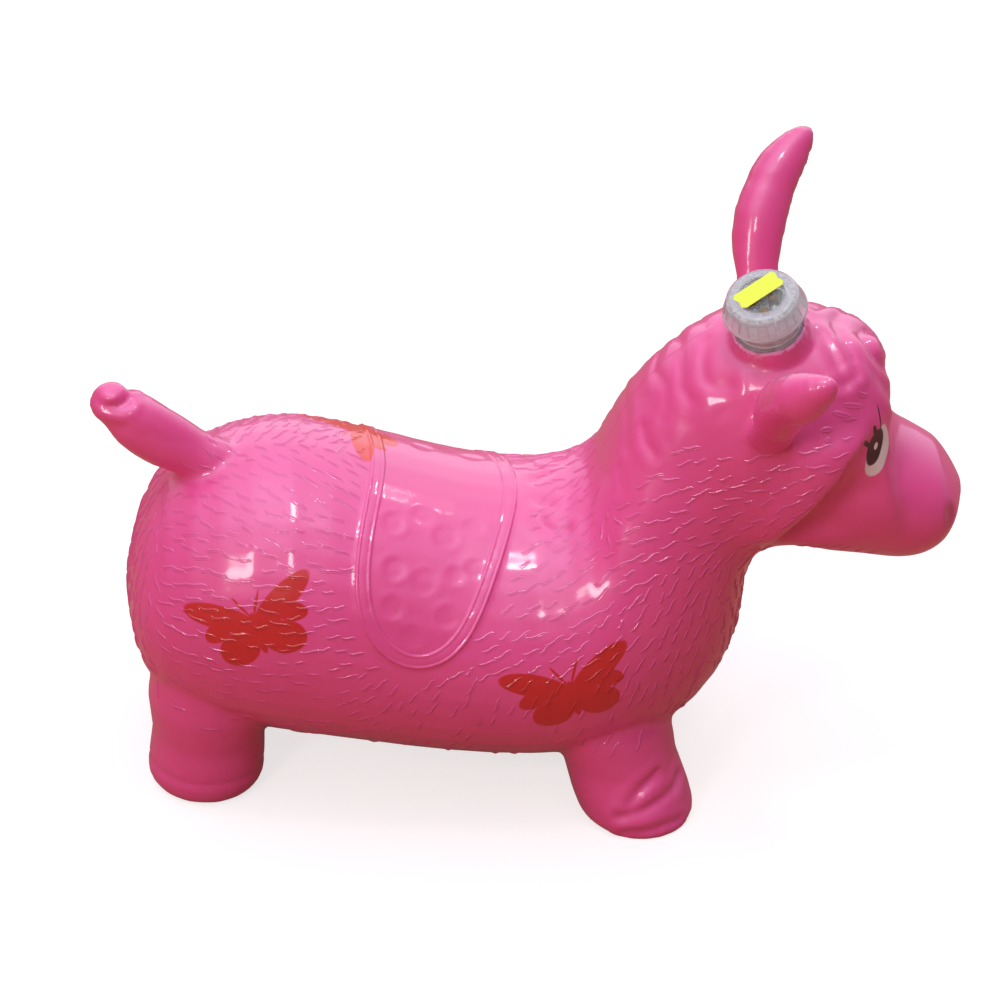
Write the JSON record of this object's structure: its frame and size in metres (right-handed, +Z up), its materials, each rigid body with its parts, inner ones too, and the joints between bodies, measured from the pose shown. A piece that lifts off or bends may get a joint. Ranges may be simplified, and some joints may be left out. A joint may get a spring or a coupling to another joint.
{
  "type": "animal hopper",
  "caption": "Inflatable soft-PVC animal hopper with ear grips, a saddle seat, stub legs, a screw-capped flashing light on its head and an inflation plug in its belly.",
  "frame": {"origin": "on the ground under the middle of the animal's box, in its middle plane", "axes": "+X forward to the head, +Z up, +Y to the animal's left"},
  "size_m": [0.5159, 0.262, 0.3716],
  "materials": {
    "soft_pvc": "glossy moulded soft PVC",
    "frosted_polypropylene": "frosted moulded polypropylene",
    "clear_acrylic": "polished clear acrylic",
    "seal_rubber": "matt moulded rubber",
    "board_laminate": "solder-masked laminate",
    "amber_epoxy": "clear amber epoxy",
    "clear_epoxy": "water-clear epoxy",
    "black_epoxy": "black epoxy",
    "resistor_ceramic": "glazed chip resistor",
    "nickel_plated_steel": "nickel-plated steel",
    "brass_strip": "rolled brass strip",
    "tray_abs": "moulded ABS",
    "plug_polyethylene": "moulded polyethylene",
    "switch_nylon": "moulded nylon",
    "label_paper": "fluorescent coated paper"
  },
  "bodies": {
    "root": {"skin": "soft_pvc", "valve_seat": "soft_pvc", "light_cup": "frosted_polypropylene", "led_board": "board_laminate", "amber_leds": "amber_epoxy", "clear_leds": "clear_epoxy", "chip_blob": "black_epoxy", "resistors": "resistor_ceramic", "board_screws": "nickel_plated_steel", "battery_holder": "tray_abs", "button_cells": "nickel_plated_steel", "base_contacts": "brass_strip", "contact_tabs": "brass_strip", "switch_can": "switch_nylon", "switch_spring": "nickel_plated_steel", "switch_pin": "brass_strip"},
    "cap_seal": {"cap_seal": "seal_rubber"},
    "light_cap": {"light_cap": "frosted_polypropylene", "window_lens": "clear_acrylic", "price_label": "label_paper"},
    "valve_plug": {"valve_plug": "plug_polyethylene"}
  },
  "joints": [
    {"name": "cap_rise", "type": "slide", "parent": "root", "child": "cap_seal", "axis": [-0.2488, -0.2756, 0.9285], "range_m": [0, 0.0061]},
    {"name": "cap_turn", "type": "hinge", "parent": "cap_seal", "child": "light_cap", "pos_m": [0.132, -0.015, 0.319], "axis": [-0.2488, -0.2756, 0.9285], "range_deg": [0, 540]},
    {"name": "plug_pull", "type": "slide", "parent": "root", "child": "valve_plug", "axis": [0, 0, -1], "range_m": [0, 0.016]}
  ],
  "couplings": [
    {"joint": "cap_rise", "follows": "cap_turn", "m_per_rad": 0.00063662}
  ]
}
